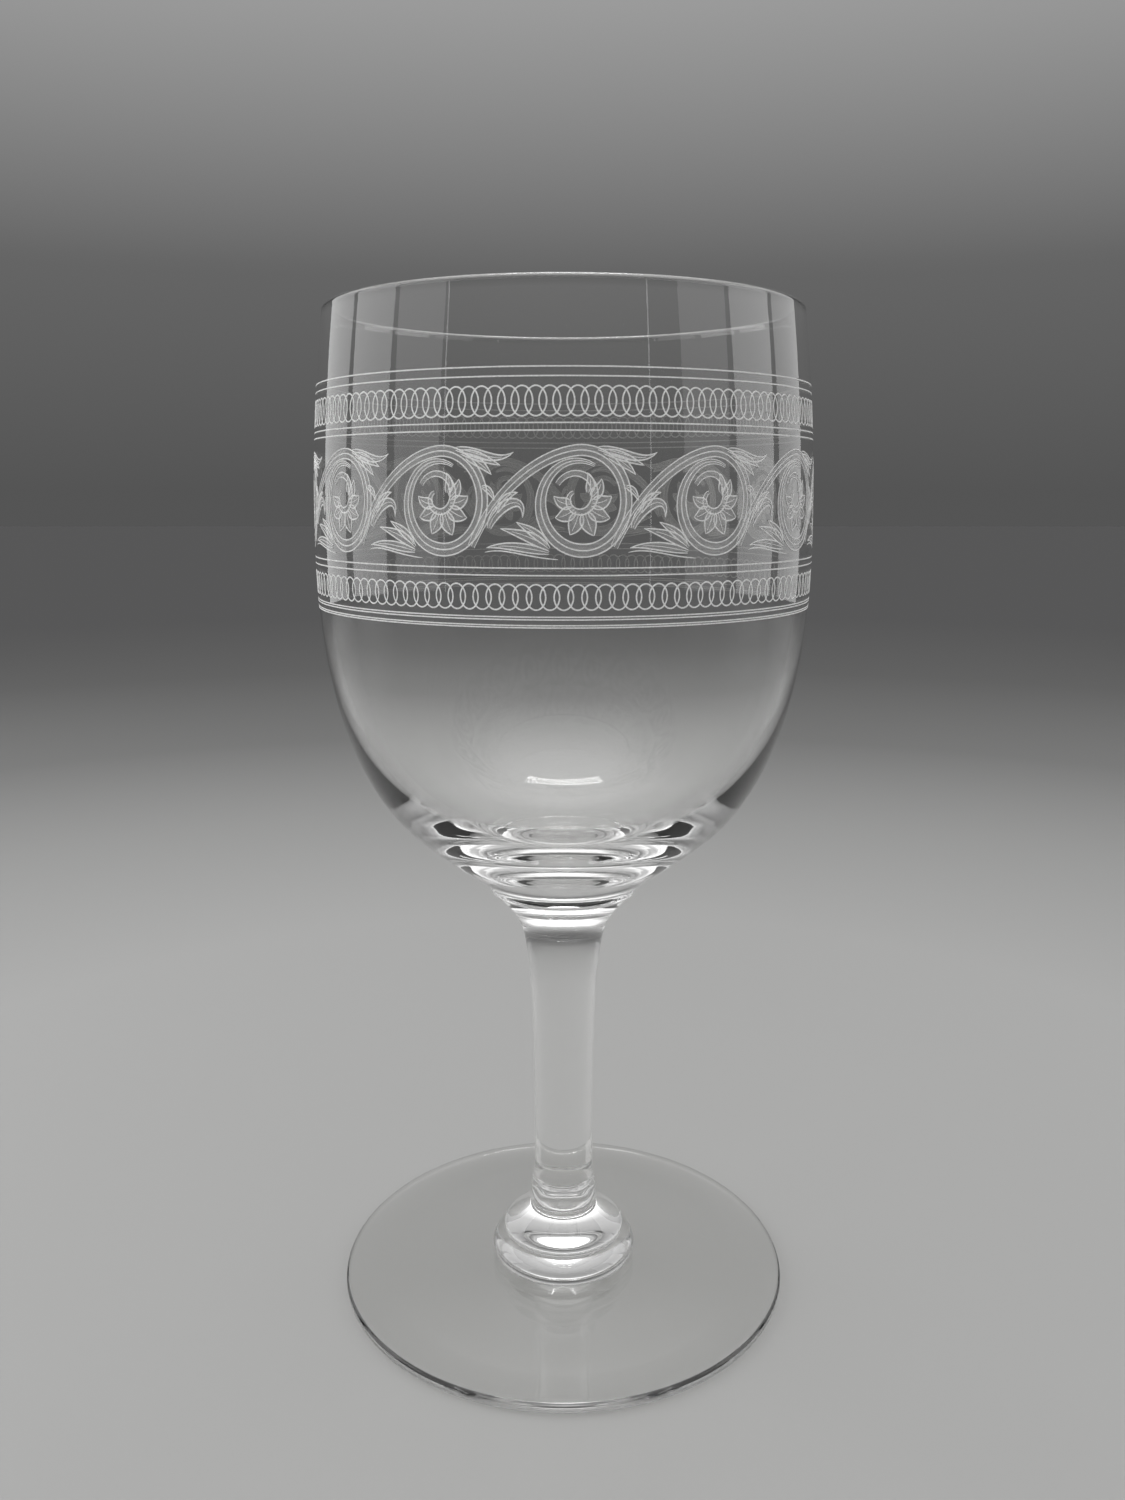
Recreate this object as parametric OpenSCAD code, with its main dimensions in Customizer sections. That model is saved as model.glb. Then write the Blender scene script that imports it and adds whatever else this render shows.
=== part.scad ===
// Antique wine glass in clear crystal: a deep rounded bowl on a short turned stem
// and a flat round foot. Every piece is a gather of glass worked on one axis and
// fused flat to the next, so the stack is built from the table upwards.
// Millimetres, +Z up, origin on the table under the middle of the foot.

/* [Foot] */
// Radius of the foot
foot_r = 33; // [28:0.5:40]
// Thickness of the foot at its rounded edge
foot_edge_t = 1.6; // [1.2:0.1:2.2]
// Thickness of the foot under the boss
foot_t = 2.6; // [2.1:0.1:4]
// Width of the flat ring that the foot rests on
rest_w = 5.2; // [3:0.1:8]
// Depth of the shallow hollow inside that ring
hollow_h = 0.4; // [0.2:0.1:0.8]

/* [Foot boss] */
// Height of the round boss on the foot
boss_h = 3.3; // [2.5:0.1:5]
// Radius of the joint between the foot and the boss
boss_seat_r = 10.2; // [8:0.1:13]
// How far the boss swells out beyond that joint
boss_swell = 0.55; // [0.2:0.05:2]

/* [Knop] */
// Height of the domed knop on the boss, without its neck
knop_h = 4.2; // [3:0.1:6]
// Height of the neck on top of the knop
neck_h = 1.3; // [0.8:0.1:3]
// How far the joint under the knop lies inside the one under the boss
knop_step = 1.6; // [0.8:0.1:3]
// How far the knop swells out beyond the joint under it
knop_swell = 0.4; // [0.2:0.05:1.5]

/* [Stem bead] */
// Height of the bead ring between the knop and the stem
bead_h = 3.8; // [2.5:0.1:5]
// How far the bead swells out beyond the joint under it
bead_swell = 0.2; // [0.1:0.05:1]
// How far the joint under the bead stands out beyond the stem
bead_step = 0.35; // [0:0.05:0.6]

/* [Stem] */
// Height of the stem, from the bead to the collar
stem_h = 37.8; // [28:0.1:60]
// Radius of the stem at its foot
stem_r = 4.35; // [3.6:0.05:6]
// How far the stem is drawn in towards its waist
waist_in = 0.35; // [0:0.05:0.8]

/* [Collar] */
// Height of the flared collar under the bowl
collar_h = 7.6; // [6:0.1:11]
// How far the stem spreads by the joint under the collar
collar_spread = 1.3; // [0.5:0.05:2]
// How far the collar's edge stands out beyond the bowl's joint
collar_lip = 0.45; // [0.3:0.05:1.5]
// Radius of the rounding on the collar's edge
collar_edge_r = 0.2; // [0.1:0.05:0.3]

/* [Bowl] */
// Height of the bowl, from the collar to the rim
bowl_h = 78.7; // [65:0.1:100]
// Radius of the bowl at its fattest
bowl_r = 33.2; // [27:0.1:40]
// How far the fattest line lies below the rim
belly_drop = 31.3; // [20:0.1:40]
// Radius of the joint between the collar and the bowl
bowl_seat_r = 9.9; // [7.5:0.1:12]
// How far inside the fattest line the bottom turns up into the side
turn_in = 9.6; // [6:0.1:13]
// Height of that turn above the collar
turn_h = 11.4; // [8:0.1:15]
// Slope of the bowl where it leaves the collar, in degrees
base_slope = 40; // [30:1:50]
// Slope of the bowl at the turn, in degrees
turn_slope = 50.5; // [45:0.5:60]
// How far the rim draws in from the fattest line
rim_in = 1.85; // [0:0.05:4]
// Wall thickness at the rim
rim_t = 1.3; // [1:0.1:2]
// Wall thickness at the fattest line
wall_t = 1.5; // [1.2:0.1:2.2]
// Depth of solid glass under the wine
base_t = 5.4; // [4:0.1:8]

/* [Hidden] */
// Steps in each curve of an outline
curve_n = 20;
// Sides that a preview shows on a turned piece
$fn = 96;

// Heights of the joints above the table
boss_top_z = foot_t + boss_h;
dome_top_z = boss_top_z + knop_h;
knop_top_z = dome_top_z + neck_h;
bead_top_z = knop_top_z + bead_h;
stem_top_z = bead_top_z + stem_h;
collar_top_z = stem_top_z + collar_h;
// Levels in the bowl
rim_z = collar_top_z + bowl_h;
belly_z = rim_z - belly_drop;
lip_z = rim_z - rim_t / 2;
floor_z = collar_top_z + base_t;
// Radii of the joints that follow from the pieces they close
knop_seat_r = boss_seat_r - knop_step;
bead_seat_r = stem_r + bead_step;
collar_seat_r = stem_r + collar_spread;

// Clear crystal, faintly cool
crystal = [0.86, 0.9, 0.92, 0.45];

// Point at share t along a cubic curve with end points a and d and handles b and c
function cubic(a, b, c, d, t) =
    pow(1 - t, 3) * a + 3 * t * pow(1 - t, 2) * b + 3 * t * t * (1 - t) * c + pow(t, 3) * d;
// The curve as a row of points
function curve(a, b, c, d) = [for (i = [0 : curve_n]) cubic(a, b, c, d, i / curve_n)];
// Side that runs straight up at radius r0 and height z0 and leans to r1 at z1
function lean(r0, z0, r1, z1) =
    [for (i = [1 : curve_n]) let (t = i / curve_n) [r0 + (r1 - r0) * t * t, z0 + (z1 - z0) * t]];
// Arc of radius r about a centre, from angle a0 to angle a1
function arc(centre, r, a0, a1) =
    [for (i = [0 : curve_n]) let (a = a0 + (a1 - a0) * i / curve_n) centre + r * [cos(a), sin(a)]];
// Direction that rises by an angle from level
function slope(a) = [cos(a), sin(a)];
// The same row of points from its other end
function reversed(points) = [for (i = [len(points) - 1 : -1 : 0]) points[i]];
// The row without its first point, which the row before it ends on
function rest_of(points) = [for (i = [1 : len(points) - 1]) points[i]];

// Turns an outline of [radius, height] points about the axis
module turned(points) {
    color(crystal)
        rotate_extrude()
            polygon(points);
}

// Flat foot with a rounded edge, a top that swells gently to the boss, and a shallow hollow
module foot() {
    edge_r = foot_edge_t / 2;
    hollow_r = foot_r - edge_r - rest_w;
    reach = foot_r - boss_seat_r;
    hollow = curve([0, hollow_h], [hollow_r / 3, hollow_h], [hollow_r * 2 / 3, hollow_h], [hollow_r, 0]);
    edge = arc([foot_r - edge_r, edge_r], edge_r, -90, 85);
    top = curve(edge[curve_n], [foot_r - reach / 3, foot_edge_t + (foot_t - foot_edge_t) * 0.12],
                [boss_seat_r + reach / 3, foot_t], [boss_seat_r, foot_t]);
    turned(concat(hollow, edge, rest_of(top), [[0, foot_t]]));
}

// Round boss that carries the stem on the foot
module foot_boss() {
    boss_r = boss_seat_r + boss_swell;
    widest_z = foot_t + boss_h * 0.38;
    under = curve([boss_seat_r, foot_t], [boss_seat_r + boss_swell * 0.7, foot_t + boss_h * 0.06],
                  [boss_r, foot_t + boss_h * 0.2], [boss_r, widest_z]);
    over = curve([boss_r, widest_z], [boss_r, widest_z + boss_h * 0.28],
                 [boss_r - (boss_r - knop_seat_r) * 0.4, boss_top_z - boss_h * 0.1], [knop_seat_r, boss_top_z]);
    turned(concat([[0, foot_t]], under, rest_of(over), [[0, boss_top_z]]));
}

// Domed knop that swells over the boss and draws in to a short neck
module knop() {
    knop_r = knop_seat_r + knop_swell;
    widest_z = boss_top_z + knop_h * 0.27;
    neck_foot = [bead_seat_r + 0.3, dome_top_z];
    dome_w = knop_r - neck_foot[0];
    under = curve([knop_seat_r, boss_top_z], [knop_seat_r + knop_swell * 0.6, boss_top_z + knop_h * 0.04],
                  [knop_r, boss_top_z + knop_h * 0.14], [knop_r, widest_z]);
    dome = curve([knop_r, widest_z], [knop_r, widest_z + knop_h * 0.21],
                 [knop_r - dome_w * 0.45, widest_z + knop_h * 0.39], neck_foot);
    neck = curve(neck_foot, [bead_seat_r + 0.05, dome_top_z + neck_h * 0.25],
                 [bead_seat_r, dome_top_z + neck_h * 0.6], [bead_seat_r, knop_top_z]);
    turned(concat([[0, boss_top_z]], under, rest_of(dome), rest_of(neck), [[0, knop_top_z]]));
}

// Bead ring at the foot of the stem, with a round shoulder
module stem_bead() {
    // Handles this far out bring the middle of the curve to the bead's full swell
    handle_r = bead_seat_r + bead_swell * 1.25;
    side = curve([bead_seat_r, knop_top_z], [handle_r, knop_top_z + bead_h * 0.26],
                 [handle_r, bead_top_z - bead_h * 0.26], [stem_r, bead_top_z]);
    turned(concat([[0, knop_top_z]], side, [[0, bead_top_z]]));
}

// Plain stem with a drawn-in waist
module stem() {
    side = curve([stem_r, bead_top_z], [stem_r - waist_in * 0.2, bead_top_z + stem_h * 0.17],
                 [stem_r - waist_in, stem_top_z - stem_h * 0.22], [collar_seat_r, stem_top_z]);
    turned(concat([[0, bead_top_z]], side, [[0, stem_top_z]]));
}

// Flared collar that spreads the stem out to carry the bowl
module collar() {
    round_r = bowl_seat_r + collar_lip - collar_edge_r;
    round_z = collar_top_z - collar_edge_r;
    flare = round_r - collar_seat_r;
    edge = arc([round_r, round_z], collar_edge_r, -60, 90);
    side = curve([collar_seat_r, stem_top_z], [collar_seat_r + flare * 0.13, stem_top_z + collar_h * 0.42],
                 [collar_seat_r + flare * 0.52, round_z - collar_h * 0.28], edge[0]);
    turned(concat([[0, stem_top_z]], side, rest_of(edge), [[0, collar_top_z]]));
}

// Deep bowl: thick at the bottom, thin at the rolled and polished rim
module bowl() {
    seat = [bowl_seat_r, collar_top_z];
    turn = [bowl_r - turn_in, collar_top_z + turn_h];
    belly = [bowl_r, belly_z];
    rim_r = bowl_r - rim_in;
    inner_r = bowl_r - wall_t;
    base_run = norm(turn - seat);
    side_run = norm(belly - turn);
    base = curve(seat, seat + 0.28 * base_run * slope(base_slope),
                 turn - 0.28 * base_run * slope(turn_slope), turn);
    side = curve(turn, turn + 0.27 * side_run * slope(turn_slope), belly - [0, 0.42 * side_run], belly);
    outside = concat(base, rest_of(side), lean(bowl_r, belly_z, rim_r, lip_z));
    lip = arc([rim_r - rim_t / 2, lip_z], rim_t / 2, 0, 180);
    inside = concat(
        curve([0, floor_z], [inner_r * 0.72, floor_z + 0.3],
              [inner_r, belly_z - (belly_z - floor_z) * 0.62], [inner_r, belly_z]),
        lean(inner_r, belly_z, rim_r - rim_t, lip_z));
    turned(concat([[0, collar_top_z]], outside, rest_of(lip), rest_of(reversed(inside))));
}

foot();
foot_boss();
knop();
stem_bead();
stem();
collar();
bowl();
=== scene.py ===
"""Looks of an antique crystal wine glass with etched bands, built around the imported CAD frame.

Lengths are metres, +Z up, with the origin on the floor under the middle of the foot.
"""
import math

import bpy
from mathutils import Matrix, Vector


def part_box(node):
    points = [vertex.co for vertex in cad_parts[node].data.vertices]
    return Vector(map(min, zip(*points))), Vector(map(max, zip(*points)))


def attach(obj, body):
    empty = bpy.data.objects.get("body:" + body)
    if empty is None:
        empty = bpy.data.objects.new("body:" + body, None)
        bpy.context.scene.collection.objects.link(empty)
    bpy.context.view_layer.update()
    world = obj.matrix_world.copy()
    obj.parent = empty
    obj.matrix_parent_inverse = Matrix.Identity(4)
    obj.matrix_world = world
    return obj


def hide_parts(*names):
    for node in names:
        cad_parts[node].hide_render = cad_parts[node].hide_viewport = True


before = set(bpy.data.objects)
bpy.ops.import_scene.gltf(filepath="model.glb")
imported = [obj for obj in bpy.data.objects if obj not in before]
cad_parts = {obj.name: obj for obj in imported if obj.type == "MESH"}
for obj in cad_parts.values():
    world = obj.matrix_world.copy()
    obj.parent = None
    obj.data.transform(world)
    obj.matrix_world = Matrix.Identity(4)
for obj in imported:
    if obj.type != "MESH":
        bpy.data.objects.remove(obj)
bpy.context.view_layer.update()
MM = 0.001

# ---------------------------------------------------------------- sizes read from the frame
foot_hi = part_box("foot")[1]
boss_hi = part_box("foot_boss")[1]
knop_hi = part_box("knop")[1]
bead_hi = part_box("stem_bead")[1]
stem_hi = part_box("stem")[1]
collar_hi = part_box("collar")[1]
bowl_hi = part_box("bowl")[1]

FOOT_R = foot_hi[0]
FOOT_T = foot_hi[2]
BOSS_R = boss_hi[0]
BOSS_TOP = boss_hi[2]
KNOP_R = knop_hi[0]
KNOP_TOP = knop_hi[2]
BEAD_TOP = bead_hi[2]
COLLAR_SEAT_R = stem_hi[0]
STEM_TOP = stem_hi[2]
COLLAR_R = collar_hi[0]
COLLAR_TOP = collar_hi[2]
BOWL_R = bowl_hi[0]
RIM_Z = bowl_hi[2]

# ---------------------------------------------------------------- sizes that a box can't give
FOOT_EDGE_T = 1.6 * MM
FOOT_REST_W = 5.2 * MM
FOOT_HOLLOW_H = 0.4 * MM
BOSS_SEAT_R = BOSS_R - 0.55 * MM
KNOP_SEAT_R = KNOP_R - 0.4 * MM
NECK_H = 1.3 * MM
STEM_R = COLLAR_SEAT_R - 1.3 * MM
BEAD_SEAT_R = STEM_R + 0.35 * MM
BEAD_SWELL = 0.2 * MM
WAIST_IN = 0.35 * MM
# How far the foot of the knop's neck, and its first handle, stand out beyond the bead's seat
NECK_OUT = 0.3 * MM
NECK_HANDLE_OUT = 0.05 * MM
COLLAR_EDGE_R = 0.2 * MM
BOWL_SEAT_R = COLLAR_R - 0.45 * MM
BELLY_Z = RIM_Z - 31.3 * MM
TURN_IN = 9.6 * MM
TURN_H = 11.4 * MM
BASE_SLOPE = 40
TURN_SLOPE = 50.5
RIM_IN = 1.85 * MM
RIM_T = 1.3 * MM
WALL_T = 1.5 * MM
BASE_T = 5.4 * MM

CURVE_STEPS = 40
TURN_STEPS = 288


# ---------------------------------------------------------------- outlines
def cubic(a, b, c, d, steps=CURVE_STEPS):
    """Points along a cubic curve with end points a and d and handles b and c."""
    points = []
    for i in range(steps + 1):
        t = i / steps
        s = 1 - t
        weights = (s ** 3, 3 * s * s * t, 3 * s * t * t, t ** 3)
        points.append(tuple(sum(w * p[k] for w, p in zip(weights, (a, b, c, d))) for k in (0, 1)))
    return points


def arc(centre, radius, a0, a1, steps=16):
    """Points along an arc from angle a0 to angle a1, in degrees."""
    angles = [math.radians(a0 + (a1 - a0) * i / steps) for i in range(steps + 1)]
    return [(centre[0] + radius * math.cos(a), centre[1] + radius * math.sin(a)) for a in angles]


def lean(r0, z0, r1, z1, steps=CURVE_STEPS):
    """A side that starts upright at (r0, z0) and leans to (r1, z1)."""
    shares = [i / steps for i in range(1, steps + 1)]
    return [(r0 + (r1 - r0) * t * t, z0 + (z1 - z0) * t) for t in shares]


def slope(angle):
    return Vector((math.cos(math.radians(angle)), math.sin(math.radians(angle))))


def bowl_outside():
    """The outer side of the bowl, from the collar to just under the rim."""
    seat = Vector((BOWL_SEAT_R, COLLAR_TOP))
    turn = Vector((BOWL_R - TURN_IN, COLLAR_TOP + TURN_H))
    belly = Vector((BOWL_R, BELLY_Z))
    base_run = (turn - seat).length
    side_run = (belly - turn).length
    base = cubic(seat, seat + 0.28 * base_run * slope(BASE_SLOPE),
                 turn - 0.28 * base_run * slope(TURN_SLOPE), turn)
    side = cubic(turn, turn + 0.27 * side_run * slope(TURN_SLOPE),
                 belly - Vector((0, 0.42 * side_run)), belly)
    return base + side[1:] + lean(BOWL_R, BELLY_Z, BOWL_R - RIM_IN, RIM_Z - RIM_T / 2)


def bowl_inside():
    """The inner side of the bowl, from the middle of its floor to just under the rim."""
    inner_r = BOWL_R - WALL_T
    floor_z = COLLAR_TOP + BASE_T
    cup = cubic((0, floor_z), (inner_r * 0.72, floor_z + 0.3 * MM),
                (inner_r, BELLY_Z - (BELLY_Z - floor_z) * 0.62), (inner_r, BELLY_Z))
    return cup + lean(inner_r, BELLY_Z, BOWL_R - RIM_IN - RIM_T, RIM_Z - RIM_T / 2)


def bowl_outline():
    lip = arc((BOWL_R - RIM_IN - RIM_T / 2, RIM_Z - RIM_T / 2), RIM_T / 2, 0, 180)
    return bowl_outside() + lip[1:] + bowl_inside()[::-1][1:]


def collar_outline():
    round_r = COLLAR_R - COLLAR_EDGE_R
    round_z = COLLAR_TOP - COLLAR_EDGE_R
    flare = round_r - COLLAR_SEAT_R
    height = COLLAR_TOP - STEM_TOP
    edge = arc((round_r, round_z), COLLAR_EDGE_R, -60, 90)
    side = cubic((COLLAR_SEAT_R, STEM_TOP), (COLLAR_SEAT_R + flare * 0.13, STEM_TOP + height * 0.42),
                 (COLLAR_SEAT_R + flare * 0.52, round_z - height * 0.28), edge[0])
    return side + edge[1:] + [(BOWL_SEAT_R, COLLAR_TOP)]


def stem_outline():
    height = STEM_TOP - BEAD_TOP
    return cubic((STEM_R, BEAD_TOP), (STEM_R - WAIST_IN * 0.2, BEAD_TOP + height * 0.17),
                 (STEM_R - WAIST_IN, STEM_TOP - height * 0.22), (COLLAR_SEAT_R, STEM_TOP), 80)


def bead_outline():
    height = BEAD_TOP - KNOP_TOP
    handle_r = BEAD_SEAT_R + BEAD_SWELL * 1.25
    return cubic((BEAD_SEAT_R, KNOP_TOP), (handle_r, KNOP_TOP + height * 0.26),
                 (handle_r, BEAD_TOP - height * 0.26), (STEM_R, BEAD_TOP))


def knop_outline():
    dome_top = KNOP_TOP - NECK_H
    height = dome_top - BOSS_TOP
    swell = KNOP_R - KNOP_SEAT_R
    widest_z = BOSS_TOP + height * 0.27
    neck_foot = (BEAD_SEAT_R + NECK_OUT, dome_top)
    dome_w = KNOP_R - neck_foot[0]
    under = cubic((KNOP_SEAT_R, BOSS_TOP), (KNOP_SEAT_R + swell * 0.6, BOSS_TOP + height * 0.04),
                  (KNOP_R, BOSS_TOP + height * 0.14), (KNOP_R, widest_z), 16)
    dome = cubic((KNOP_R, widest_z), (KNOP_R, widest_z + height * 0.21),
                 (KNOP_R - dome_w * 0.45, widest_z + height * 0.39), neck_foot)
    neck = cubic(neck_foot, (BEAD_SEAT_R + NECK_HANDLE_OUT, dome_top + NECK_H * 0.25),
                 (BEAD_SEAT_R, dome_top + NECK_H * 0.6), (BEAD_SEAT_R, KNOP_TOP), 16)
    return under + dome[1:] + neck[1:]


def boss_outline():
    height = BOSS_TOP - FOOT_T
    widest_z = FOOT_T + height * 0.38
    swell = BOSS_R - BOSS_SEAT_R
    under = cubic((BOSS_SEAT_R, FOOT_T), (BOSS_SEAT_R + swell * 0.7, FOOT_T + height * 0.06),
                  (BOSS_R, FOOT_T + height * 0.2), (BOSS_R, widest_z), 16)
    over = cubic((BOSS_R, widest_z), (BOSS_R, widest_z + height * 0.28),
                 (BOSS_R - (BOSS_R - KNOP_SEAT_R) * 0.4, BOSS_TOP - height * 0.1), (KNOP_SEAT_R, BOSS_TOP))
    return under + over[1:]


def foot_outline():
    edge_r = FOOT_EDGE_T / 2
    hollow_r = FOOT_R - edge_r - FOOT_REST_W
    reach = FOOT_R - BOSS_SEAT_R
    hollow = cubic((0, FOOT_HOLLOW_H), (hollow_r / 3, FOOT_HOLLOW_H),
                   (hollow_r * 2 / 3, FOOT_HOLLOW_H), (hollow_r, 0))
    edge = arc((FOOT_R - edge_r, edge_r), edge_r, -90, 85)
    top = cubic(edge[-1], (FOOT_R - reach / 3, FOOT_EDGE_T + (FOOT_T - FOOT_EDGE_T) * 0.12),
                (BOSS_SEAT_R + reach / 3, FOOT_T), (BOSS_SEAT_R, FOOT_T))
    return hollow + edge + top[1:]


# ---------------------------------------------------------------- mesh helpers
SHARP_ANGLE = 35  # an edge on the turned glass that bends more than this stays crisp
RELIEF_SHARP_ANGLE = 40


def new_object(name, verts, faces, materials, face_slots=(), smooth_angle=None):
    mesh = bpy.data.meshes.new(name)
    mesh.from_pydata(verts, [], faces)
    for material in materials:
        mesh.materials.append(material)
    if face_slots:
        mesh.polygons.foreach_set("material_index", face_slots)
    if smooth_angle is not None:
        mesh.shade_smooth()
        mesh.set_sharp_from_angle(angle=math.radians(smooth_angle))
    mesh.update()
    obj = bpy.data.objects.new(name, mesh)
    bpy.context.scene.collection.objects.link(obj)
    return obj


def turned(name, outline, glass, joint, low_joint, high_joint):
    """A closed solid of revolution. Its end caps are the joint material where it is fused to a neighbour."""
    points = list(outline)
    if points[0][0] > 0:
        points.insert(0, (0.0, points[0][1]))
    if points[-1][0] > 0:
        points.append((0.0, points[-1][1]))
    rings = points[1:-1]
    count = TURN_STEPS
    angles = [2 * math.pi * i / count for i in range(count)]
    verts = [(0.0, 0.0, points[0][1])]
    for r, z in rings:
        verts += [(r * math.cos(a), r * math.sin(a), z) for a in angles]
    verts.append((0.0, 0.0, points[-1][1]))
    last = len(verts) - 1
    low_slot = 1 if low_joint else 0
    high_slot = 1 if high_joint else 0
    faces = []
    slots = []
    for i in range(count):
        j = (i + 1) % count
        faces.append((0, 1 + j, 1 + i))
        slots.append(low_slot)
    for k in range(len(rings) - 1):
        base = 1 + k * count
        for i in range(count):
            j = (i + 1) % count
            faces.append((base + i, base + j, base + count + j, base + count + i))
            slots.append(0)
    base = 1 + (len(rings) - 1) * count
    for i in range(count):
        j = (i + 1) % count
        faces.append((base + i, base + j, last))
        slots.append(high_slot)
    return new_object(name, verts, faces, [glass, joint], slots, smooth_angle=SHARP_ANGLE)


# ---------------------------------------------------------------- materials
def new_material(name):
    material = bpy.data.materials.new(name)
    material.use_nodes = True
    tree = material.node_tree
    tree.nodes.clear()
    return material, tree


def add(tree, kind, **values):
    """A new node with the named inputs or properties set."""
    node = tree.nodes.new(kind)
    for key, value in values.items():
        label = key.replace("_", " ")
        if label in node.inputs:
            node.inputs[label].default_value = value
        else:
            setattr(node, key, value)
    return node


def noise(tree, coords, scale, detail=3.0, roughness=0.5):
    node = add(tree, "ShaderNodeTexNoise", Scale=scale, Detail=detail, Roughness=roughness)
    tree.links.new(coords, node.inputs["Vector"])
    return node.outputs["Fac"]


def mapped(tree, value, low, high, to_low, to_high):
    node = tree.nodes.new("ShaderNodeMapRange")
    for socket, number in zip(node.inputs[1:5], (low, high, to_low, to_high)):
        socket.default_value = number
    tree.links.new(value, node.inputs[0])
    return node.outputs[0]


def crystal_material(name, wave, wear):
    """Clear lead crystal, slightly wavy from the furnace, with soft wear. Lamps shine through it."""
    material, tree = new_material(name)
    coords = add(tree, "ShaderNodeTexCoord").outputs["Object"]
    glass = add(tree, "ShaderNodeBsdfPrincipled", Base_Color=(0.993, 0.993, 0.989, 1), IOR=1.54)
    glass.inputs["Transmission Weight"].default_value = 1.0
    smudge = noise(tree, coords, 55.0, 5.0, 0.6)
    tree.links.new(mapped(tree, smudge, 0.52, 0.75, 0.0, wear), glass.inputs["Roughness"])
    bump = add(tree, "ShaderNodeBump", Strength=wave, Distance=0.00025)
    tree.links.new(noise(tree, coords, 38.0, 1.5, 0.4), bump.inputs["Height"])
    tree.links.new(bump.outputs["Normal"], glass.inputs["Normal"])
    clear = add(tree, "ShaderNodeBsdfTransparent", Color=(0.985, 0.985, 0.98, 1))
    path = add(tree, "ShaderNodeLightPath")
    mix = add(tree, "ShaderNodeMixShader")
    tree.links.new(path.outputs["Is Shadow Ray"], mix.inputs["Fac"])
    tree.links.new(glass.outputs["BSDF"], mix.inputs[1])
    tree.links.new(clear.outputs["BSDF"], mix.inputs[2])
    out = add(tree, "ShaderNodeOutputMaterial")
    tree.links.new(mix.outputs["Shader"], out.inputs["Surface"])
    return material


def fused_joint_material():
    """The faces where two gathers are fused: one body of glass, so light runs straight on."""
    material, tree = new_material("fused_joint")
    clear = add(tree, "ShaderNodeBsdfTransparent")
    out = add(tree, "ShaderNodeOutputMaterial")
    tree.links.new(clear.outputs["BSDF"], out.inputs["Surface"])
    return material


def etched_material(name, cover, shade):
    """Acid-etched crystal, a fine white frost. cover is how much of it hides what is behind."""
    material, tree = new_material(name)
    coords = add(tree, "ShaderNodeTexCoord").outputs["Object"]
    grain = noise(tree, coords, 4200.0, 2.0, 0.6)
    frost = add(tree, "ShaderNodeBsdfPrincipled", Base_Color=(shade, shade, shade * 0.995, 1))
    frost.inputs["Specular IOR Level"].default_value = 0.15
    tree.links.new(mapped(tree, grain, 0.3, 0.7, 0.7, 0.95), frost.inputs["Roughness"])
    glow = add(tree, "ShaderNodeBsdfTranslucent", Color=(shade, shade, shade, 1))
    body = add(tree, "ShaderNodeMixShader", Fac=0.15)
    tree.links.new(frost.outputs["BSDF"], body.inputs[1])
    tree.links.new(glow.outputs["BSDF"], body.inputs[2])
    clear = add(tree, "ShaderNodeBsdfTransparent")
    mix = add(tree, "ShaderNodeMixShader")
    most = min(1.0, cover * 1.2)
    tree.links.new(mapped(tree, grain, 0.3, 0.7, cover * 0.75, most), mix.inputs["Fac"])
    tree.links.new(clear.outputs["BSDF"], mix.inputs[1])
    tree.links.new(body.outputs["Shader"], mix.inputs[2])
    out = add(tree, "ShaderNodeOutputMaterial")
    tree.links.new(mix.outputs["Shader"], out.inputs["Surface"])
    return material


# ---------------------------------------------------------------- relief on the bowl's outer side
OUTSIDE = bowl_outside()


def surface_at(z):
    """Radius of the bowl's outer side at height z, and the outward lean of its normal."""
    for (r0, z0), (r1, z1) in zip(OUTSIDE, OUTSIDE[1:]):
        if z0 <= z <= z1:
            t = (z - z0) / (z1 - z0)
            length = math.hypot(r1 - r0, z1 - z0)
            return r0 + (r1 - r0) * t, (z1 - z0) / length, -(r1 - r0) / length
    raise ValueError("height outside the bowl")


def on_bowl(u, z, proud):
    """The point at angle u and height z, proud of the bowl's outer side. u is 0 at -Y and grows towards +X."""
    r, nr, nz = surface_at(z)
    r += proud * nr
    return (r * math.sin(u), -r * math.cos(u), z + proud * nz)


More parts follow.
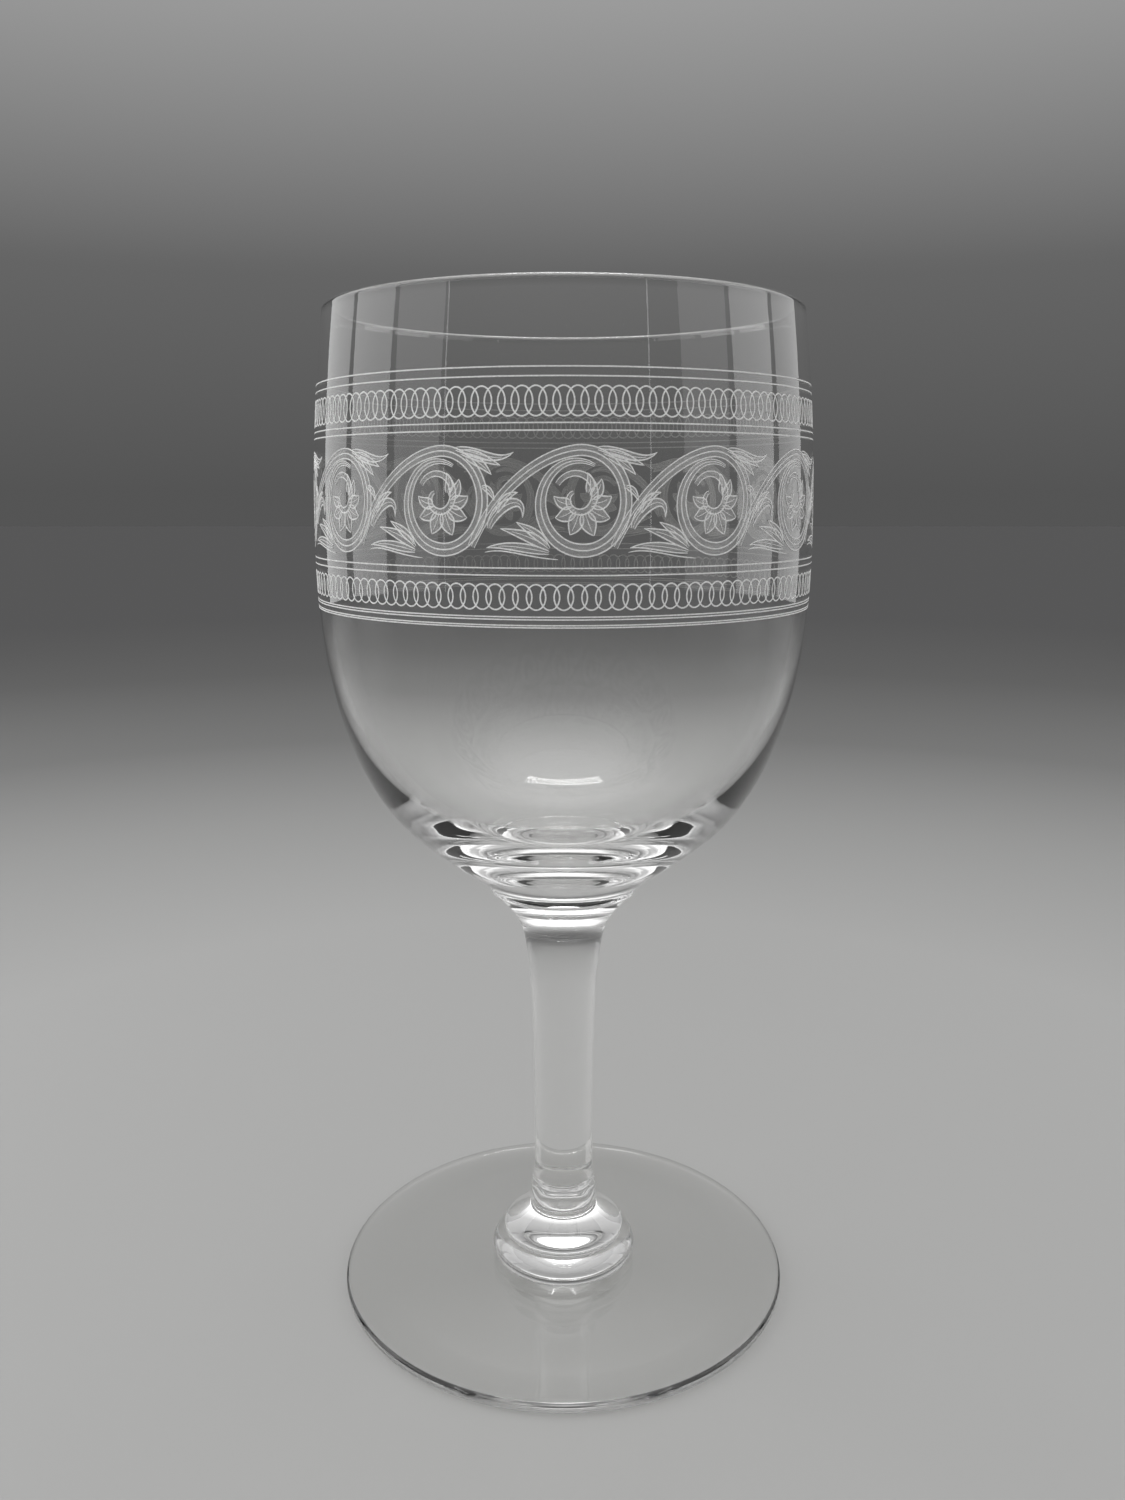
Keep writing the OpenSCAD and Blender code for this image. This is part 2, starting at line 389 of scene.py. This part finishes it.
class Relief:
    """Gathers thin closed ribbons that lie on the bowl, as one mesh."""

    def __init__(self, name, face, back, low, high, taper=0.7):
        self.name = name
        self.materials = [face, back]
        self.low = low
        self.high = high
        self.taper = taper
        self.verts = []
        self.faces = []
        self.slots = []

    def ribbon(self, path, widths, closed=False):
        """A ribbon along path, a list of (angle, height). widths is its width at each point, or one width."""
        n = len(path)
        if not hasattr(widths, "__len__"):
            widths = [widths] * n
        start = len(self.verts)
        for i, (u, z) in enumerate(path):
            before = path[(i - 1) % n] if closed or i > 0 else path[i]
            after = path[(i + 1) % n] if closed or i < n - 1 else path[i]
            r = surface_at(z)[0]
            du = math.remainder(after[0] - before[0], 2 * math.pi) * r
            dz = after[1] - before[1]
            length = math.hypot(du, dz) or 1.0
            su, sz = -dz / length, du / length
            half = widths[i] / 2
            for side, proud, reach in ((-1, self.low, half), (1, self.low, half),
                                       (1, self.high, half * self.taper), (-1, self.high, half * self.taper)):
                offset = side * reach
                self.verts.append(on_bowl(u + su * offset / r, z + sz * offset, proud))
        spans = n if closed else n - 1
        for i in range(spans):
            a = start + 4 * i
            b = start + 4 * ((i + 1) % n)
            for k in range(4):
                m = (k + 1) % 4
                self.faces.append((a + k, a + m, b + m, b + k))
                # The face against the glass takes the second material, the darker copy that paints shade on
                # etching seen from inside
                self.slots.append(1 if k == 0 else 0)
        if not closed:
            self.faces.append((start + 3, start + 2, start + 1, start))
            end = start + 4 * (n - 1)
            self.faces.append((end, end + 1, end + 2, end + 3))
            self.slots += [0, 0]

    def build(self):
        obj = new_object(self.name, self.verts, self.faces, self.materials, self.slots,
                         smooth_angle=RELIEF_SHARP_ANGLE)
        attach(obj, "root")
        return obj


# ---------------------------------------------------------------- the glass
joint = fused_joint_material()
thin_glass = crystal_material("blown_crystal", wave=0.10, wear=0.02)
solid_glass = crystal_material("worked_crystal", wave=0.12, wear=0.02)
foot_glass = crystal_material("foot_crystal", wave=0.18, wear=0.05)

PIECES = (
    # name, node it stands for, outline, glass, fused below, fused above
    ("clear_foot", "foot", foot_outline(), foot_glass, False, True),
    ("clear_foot_boss", "foot_boss", boss_outline(), solid_glass, True, True),
    ("clear_knop", "knop", knop_outline(), solid_glass, True, True),
    ("clear_stem_bead", "stem_bead", bead_outline(), solid_glass, True, True),
    ("clear_stem", "stem", stem_outline(), solid_glass, True, True),
    ("clear_collar", "collar", collar_outline(), solid_glass, True, True),
    ("clear_bowl", "bowl", bowl_outline(), thin_glass, True, False),
)
for name, node, outline, glass, low, high in PIECES:
    piece = turned(name, outline, glass, joint, low, high)
    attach(piece, "root")
    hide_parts(node)

# ---------------------------------------------------------------- etched bands
LINE_W = 0.16 * MM
RING_LINE_W = 0.18 * MM
LINE_DROPS = (9.8, 10.8, 15.7, 16.5, 31.3, 32.1, 36.7, 37.0, 37.65, 37.9)
LINE_HEIGHTS = tuple(RIM_Z - drop * MM for drop in LINE_DROPS)
CHAINS = (
    # middle height, half height and half width of one ring
    (RIM_Z - 13.4 * MM, 1.60 * MM, 1.18 * MM),
    (RIM_Z - 34.5 * MM, 1.42 * MM, 1.08 * MM),
)
# Heights above the bowl's surface between which each kind of relief lies
LINE_LOW, LINE_HIGH = 0.012 * MM, 0.035 * MM
CHAIN_LOW, CHAIN_HIGH = 0.012 * MM, 0.040 * MM
FROST_LOW, FROST_HIGH = 0.010 * MM, 0.022 * MM
SCROLL_LINE_LOW, SCROLL_LINE_HIGH = 0.030 * MM, 0.055 * MM
CHAIN_RINGS = 135
RING_STEPS = 26
SCROLLS = 13
FRIEZE_Z = RIM_Z - 24.1 * MM
FRIEZE_TURN = math.radians(3.4)
TALL = 1.1  # how much taller than wide a scroll is

line_glass = etched_material("etched_line", cover=1.0, shade=0.97)
# The faces against the glass get darker copies, a painted shade that dims the far side's etching seen through
# the bowl
line_back_painted_shade = etched_material("etched_line_back_painted_shade", cover=0.70, shade=0.36)
haze_glass = etched_material("etched_frost", cover=0.20, shade=0.92)
haze_back_painted_shade = etched_material("etched_frost_back_painted_shade", cover=0.15, shade=0.25)


def circle_path(z, steps=TURN_STEPS):
    return [(2 * math.pi * i / steps, z) for i in range(steps)]


def build_lines():
    lines = Relief("etched_border_lines", line_glass, line_back_painted_shade, LINE_LOW, LINE_HIGH)
    for z in LINE_HEIGHTS:
        lines.ribbon(circle_path(z), LINE_W, closed=True)
    lines.build()


def build_chain(name, middle_z, half_h, half_w):
    """Interlocked upright rings all the way round."""
    chain = Relief(name, line_glass, line_back_painted_shade, CHAIN_LOW, CHAIN_HIGH)
    radius = surface_at(middle_z)[0]
    for k in range(CHAIN_RINGS):
        centre = 2 * math.pi * k / CHAIN_RINGS
        path = []
        for i in range(RING_STEPS):
            a = 2 * math.pi * i / RING_STEPS
            path.append((centre + half_w * math.cos(a) / radius, middle_z + half_h * math.sin(a)))
        chain.ribbon(path, RING_LINE_W, closed=True)
    chain.build()


def bend(points, steps=22):
    """A smooth path through four handles, in millimetres from the middle of a scroll."""
    return cubic(*points, steps=steps)


def whorl(centre, radii, start, end, steps):
    """A spiral from angle start to angle end, in degrees. radii is spread evenly along it."""
    path = []
    for i in range(steps + 1):
        t = i / steps
        a = math.radians(start + (end - start) * t)
        place = t * (len(radii) - 1)
        k = min(int(place), len(radii) - 2)
        r = radii[k] + (radii[k + 1] - radii[k]) * (place - k)
        path.append((centre[0] + r * math.cos(a), centre[1] + r * math.sin(a) * TALL))
    return path


def shifted(path, offsets):
    """The path moved sideways by an offset at each point."""
    moved = []
    for i, (x, y) in enumerate(path):
        x0, y0 = path[max(i - 1, 0)]
        x1, y1 = path[min(i + 1, len(path) - 1)]
        length = math.hypot(x1 - x0, y1 - y0) or 1.0
        moved.append((x - (y1 - y0) / length * offsets[i], y + (x1 - x0) / length * offsets[i]))
    return moved


# widths of the fine lines in the frieze, in millimetres
STALK_LINE_W = 0.16
LEAF_EDGE_W = 0.17
VEIN_W = 0.09
LEAF_TIP_W = 0.04


class Scroll:
    """One turn of the frieze. Everything is given in millimetres from its middle."""

    def __init__(self, angle, lines, frost):
        self.angle = angle
        self.lines = lines
        self.frost = frost
        self.radius = surface_at(FRIEZE_Z)[0]

    def place(self, path):
        return [(self.angle + x * MM / self.radius, FRIEZE_Z + y * MM) for x, y in path]

    def line(self, path, width=STALK_LINE_W):
        """A fine bright line that thins out at both ends."""
        n = len(path) - 1
        widths = [width * MM * (0.35 + 0.65 * math.sin(math.pi * i / n) ** 0.4) for i in range(n)]
        widths.append(widths[0])
        self.lines.ribbon(self.place(path), widths)

    def stalk(self, path, widths, line_count):
        """A frosted stalk with bright lines along it. widths is spread evenly along the path."""
        n = len(path) - 1
        full = []
        for i in range(n + 1):
            place = i / n * (len(widths) - 1)
            k = min(int(place), len(widths) - 2)
            full.append(widths[k] + (widths[k + 1] - widths[k]) * (place - k))
        self.frost.ribbon(self.place(path), [w * MM for w in full])
        for j in range(line_count):
            side = -1 + 2 * j / (line_count - 1)
            self.line(shifted(path, [side * w / 2 for w in full]))

    def leaf(self, handles, width):
        """A frosted leaf along a curve, with its outline and its middle vein drawn bright."""
        path = bend(handles, 14)
        n = len(path) - 1
        half = [width / 2 * math.sin(math.pi * (0.06 + 0.94 * i / n) ** 0.75) for i in range(n + 1)]
        self.frost.ribbon(self.place(path), [max(2 * h, LEAF_TIP_W) * MM for h in half])
        for side in (-1, 1):
            self.line(shifted(path, [side * h for h in half]), LEAF_EDGE_W)
        self.line(path[:-3], VEIN_W)


# handles of each leaf, and its width
SPRAY_LEAVES = (
    (((1.8, 5.7), (4.2, 5.5), (6.6, 3.9), (8.5, 5.3)), 0.9),
    (((2.4, 5.3), (4.0, 5.2), (5.6, 4.4), (7.0, 3.9)), 0.9),
    (((3.0, 4.8), (4.2, 4.6), (5.2, 3.8), (6.0, 2.9)), 0.9),
    (((4.9, 1.6), (5.6, 1.5), (6.1, 0.9), (6.3, 0.1)), 0.6),
    (((-10.3, -2.9), (-9.6, -0.2), (-6.0, 1.2), (-6.5, -1.7)), 1.1),
    (((-9.4, -1.2), (-8.8, 0.2), (-8.0, 0.9), (-7.0, 1.0)), 0.7),
    (((-3.6, -5.1), (-5.0, -3.9), (-6.8, -3.4), (-9.0, -2.9)), 1.1),
    (((-3.8, -4.7), (-4.8, -3.4), (-6.0, -2.9), (-7.2, -2.2)), 0.9),
    (((-3.6, -5.5), (-6.0, -5.0), (-8.6, -4.5), (-10.6, -5.0)), 0.9),
)
# direction of each petal of the flower, how far out it reaches, how much it curls, and its width
PETALS = (
    (192, 3.1, -22, 1.2), (222, 3.3, -14, 1.5), (254, 3.5, -6, 1.6), (288, 3.6, 4, 1.7),
    (321, 3.5, 12, 1.6), (352, 3.3, 18, 1.5), (22, 3.1, 24, 1.2), (50, 2.9, 28, 0.9),
)


PETAL_ROOT = 1.1  # how far from the middle of the flower a petal starts


def petal(angle, reach, curl):
    """Handles of a petal that grows out from the middle of the flower and curls by an angle."""
    handles = []
    for share, turned_by in ((0, 0), (0.35, 0.1), (0.75, 0.5), (1, 1)):
        out = PETAL_ROOT + (reach - PETAL_ROOT) * share
        a = math.radians(angle + curl * turned_by)
        handles.append((out * math.cos(a), out * math.sin(a) * TALL))
    return handles


def draw_scroll(scroll):
    climb = bend(((-12.4, -4.9), (-9.7, 1.2), (-4.6, 5.1), (-0.44, 5.48)), 26)
    turn = whorl((0, 0), (5.0, 5.0, 4.9, 4.85, 4.7, 4.5, 4.2, 3.8), 95, -292, 76)
    scroll.stalk(climb + turn[1:], (0.8, 1.1, 1.15, 1.2, 1.3, 1.4, 1.2, 0.8, 0.3), 3)
    for handles, width in SPRAY_LEAVES:
        scroll.leaf(handles, width)
    for angle, reach, curl, width in PETALS:
        scroll.leaf(petal(angle, reach, curl), width)
    scroll.stalk(whorl((-0.5, 0.5), (2.5, 2.2, 1.7, 1.2, 0.6), 150, -230, 34), (0.5, 0.7, 0.6, 0.3), 2)
    scroll.line(bend(((-10.8, -5.5), (-8.6, -4.9), (-6.4, -6.0), (-2.6, -6.25))))


def build_frieze():
    lines = Relief("etched_scroll_lines", line_glass, line_back_painted_shade, SCROLL_LINE_LOW, SCROLL_LINE_HIGH)
    frost = Relief("etched_scroll_frost", haze_glass, haze_back_painted_shade, FROST_LOW, FROST_HIGH, taper=0.95)
    for k in range(SCROLLS):
        draw_scroll(Scroll(FRIEZE_TURN + 2 * math.pi * k / SCROLLS, lines, frost))
    lines.build()
    frost.build()


build_lines()
build_chain("etched_upper_chain", *CHAINS[0])
build_chain("etched_lower_chain", *CHAINS[1])
build_frieze()


# ---------------------------------------------------------------- floor, light and camera
def floor_material():
    """Pale floor whose colour darkens softly with distance from the object: a painted pool of light, as on a
    lit table.
    """
    material, tree = new_material("studio_floor")
    coords = add(tree, "ShaderNodeTexCoord").outputs["Object"]
    far = add(tree, "ShaderNodeVectorMath", operation="LENGTH")
    tree.links.new(coords, far.inputs[0])
    # Painted light: the colour falls from pale under the glass to near black far away
    ramp = add(tree, "ShaderNodeValToRGB")
    stops = ramp.color_ramp.elements
    stops[0].position, stops[0].color = 0.0, (0.43, 0.43, 0.425, 1)
    stops[1].position, stops[1].color = 1.0, (0.046, 0.046, 0.047, 1)
    for place, shade in ((0.16, 0.42), (0.28, 0.31), (0.42, 0.16), (0.65, 0.08)):
        stop = stops.new(place)
        stop.color = (shade, shade, shade * 0.99, 1)
    tree.links.new(far.outputs["Value"], ramp.inputs["Fac"])
    paint = add(tree, "ShaderNodeBsdfPrincipled", Roughness=0.6)
    tree.links.new(ramp.outputs["Color"], paint.inputs["Base Color"])
    out = add(tree, "ShaderNodeOutputMaterial")
    tree.links.new(paint.outputs["BSDF"], out.inputs["Surface"])
    return material


FLOOR_HALF = 4.0
FLOOR_GAP = 0.02 * MM


def build_floor():
    half = FLOOR_HALF
    corners = [(-half, -half, 0), (half, -half, 0), (half, half, 0), (-half, half, 0)]
    floor = new_object("studio_floor", corners, [(0, 1, 2, 3)], [floor_material()])
    floor.location.z = -FLOOR_GAP


def build_world():
    """Plain soft surroundings. What is seen is a grey that lifts overhead, and the light is neutral."""
    world = bpy.data.worlds.new("studio")
    bpy.context.scene.world = world
    world.use_nodes = True
    tree = world.node_tree
    tree.nodes.clear()
    coords = add(tree, "ShaderNodeTexCoord").outputs["Generated"]
    split = add(tree, "ShaderNodeSeparateXYZ")
    tree.links.new(coords, split.inputs[0])
    ramp = add(tree, "ShaderNodeValToRGB")
    stops = ramp.color_ramp.elements
    stops[0].position, stops[0].color = 0.0, (0.036, 0.036, 0.037, 1)
    stops[1].position, stops[1].color = 1.0, (0.8, 0.8, 0.8, 1)
    for place, shade in ((0.5, 0.036), (0.58, 0.052), (0.68, 0.144), (0.8, 0.22), (0.9, 0.6)):
        stop = stops.new(place)
        stop.color = (shade, shade, shade, 1)
    tree.links.new(mapped(tree, split.outputs["Z"], -1, 1, 0, 1), ramp.inputs["Fac"])
    seen = add(tree, "ShaderNodeBackground", Strength=2.5)
    tree.links.new(ramp.outputs["Color"], seen.inputs["Color"])
    given = add(tree, "ShaderNodeBackground", Color=(1, 1, 1, 1), Strength=0.08)
    path = add(tree, "ShaderNodeLightPath")
    shown = add(tree, "ShaderNodeMath", operation="MAXIMUM")
    shown_too = add(tree, "ShaderNodeMath", operation="MAXIMUM")
    tree.links.new(path.outputs["Is Camera Ray"], shown.inputs[0])
    tree.links.new(path.outputs["Is Glossy Ray"], shown.inputs[1])
    tree.links.new(shown.outputs[0], shown_too.inputs[0])
    tree.links.new(path.outputs["Is Transmission Ray"], shown_too.inputs[1])
    mix = add(tree, "ShaderNodeMixShader")
    tree.links.new(shown_too.outputs[0], mix.inputs["Fac"])
    tree.links.new(given.outputs[0], mix.inputs[1])
    tree.links.new(seen.outputs[0], mix.inputs[2])
    out = add(tree, "ShaderNodeOutputWorld")
    tree.links.new(mix.outputs[0], out.inputs["Surface"])


LAMPS = (
    # name, azimuth, distance, height, width, tall, power. A fill lights and isn't mirrored in the crystal.
    ("left_panel_near", -66, 0.70, 0.30, 0.30, 0.60, 0.60),
    ("left_panel", -94, 0.65, 0.30, 0.30, 0.60, 1.10),
    ("left_panel_far", -122, 0.65, 0.30, 0.28, 0.60, 0.80),
    ("left_bar", -52, 0.80, 0.30, 0.008, 0.80, 0.05),
    ("right_bar", 37, 0.80, 0.30, 0.008, 0.80, 0.05),
    ("right_panel_near", 64, 0.70, 0.30, 0.30, 0.60, 0.50),
    ("right_panel", 92, 0.65, 0.30, 0.30, 0.60, 1.10),
    ("right_panel_far", 120, 0.65, 0.30, 0.28, 0.60, 0.65),
    ("overhead", 180, 0.25, 0.90, 0.40, 0.10, 1.5),
    ("front_fill", -22, 0.90, 0.50, 0.80, 0.60, 4.2),
    ("ceiling_fill", 0, 0.10, 1.60, 2.00, 2.00, 6.5),
)


def softbox(name, azimuth, distance, height, width, tall, power):
    """A soft lamp that faces the bowl. Azimuth 0 stands where the camera does, and grows towards +X."""
    fill = name.endswith("fill")
    data = bpy.data.lights.new(name, "AREA")
    data.shape = "RECTANGLE"
    data.size = width
    data.size_y = tall
    data.energy = power
    data.cycles.use_multiple_importance_sampling = not fill
    lamp = bpy.data.objects.new(name, data)
    a = math.radians(azimuth)
    lamp.location = (distance * math.sin(a), -distance * math.cos(a), height)
    aim = Vector((0, 0, 0.09)) - lamp.location
    lamp.rotation_euler = aim.to_track_quat("-Z", "Y").to_euler()
    lamp.visible_camera = False
    lamp.visible_glossy = not fill
    # Only the lamp overhead shows through the crystal, so no side view has a white panel behind the bowl
    lamp.visible_transmission = name == "overhead"
    bpy.context.scene.collection.objects.link(lamp)


def build_camera():
    """Close to the glass and a little above its foot, looking down into it."""
    data = bpy.data.cameras.new("camera")
    data.sensor_width = 36
    data.lens = 29.57
    data.clip_start = 0.01
    camera = bpy.data.objects.new("camera", data)
    camera.location = (-0.00015, -0.1702, 0.1164)
    camera.rotation_euler = (math.radians(78.11), 0, 0)
    bpy.context.scene.collection.objects.link(camera)
    bpy.context.scene.camera = camera


build_floor()
build_world()
for lamp_name, *lamp in LAMPS:
    softbox(lamp_name, *lamp)
build_camera()
bpy.context.scene.view_settings.view_transform = "Standard"

# Light is followed far enough through the solid crystal that its edges aren't left black
GLASS_BOUNCES = 40
cycles = bpy.context.scene.cycles
cycles.max_bounces = GLASS_BOUNCES
cycles.transmission_bounces = GLASS_BOUNCES
cycles.transparent_max_bounces = GLASS_BOUNCES
cycles.glossy_bounces = 16
# Shadow rays already pass through the crystal, so its caustics would count the same light twice
cycles.caustics_reflective = False
cycles.caustics_refractive = False
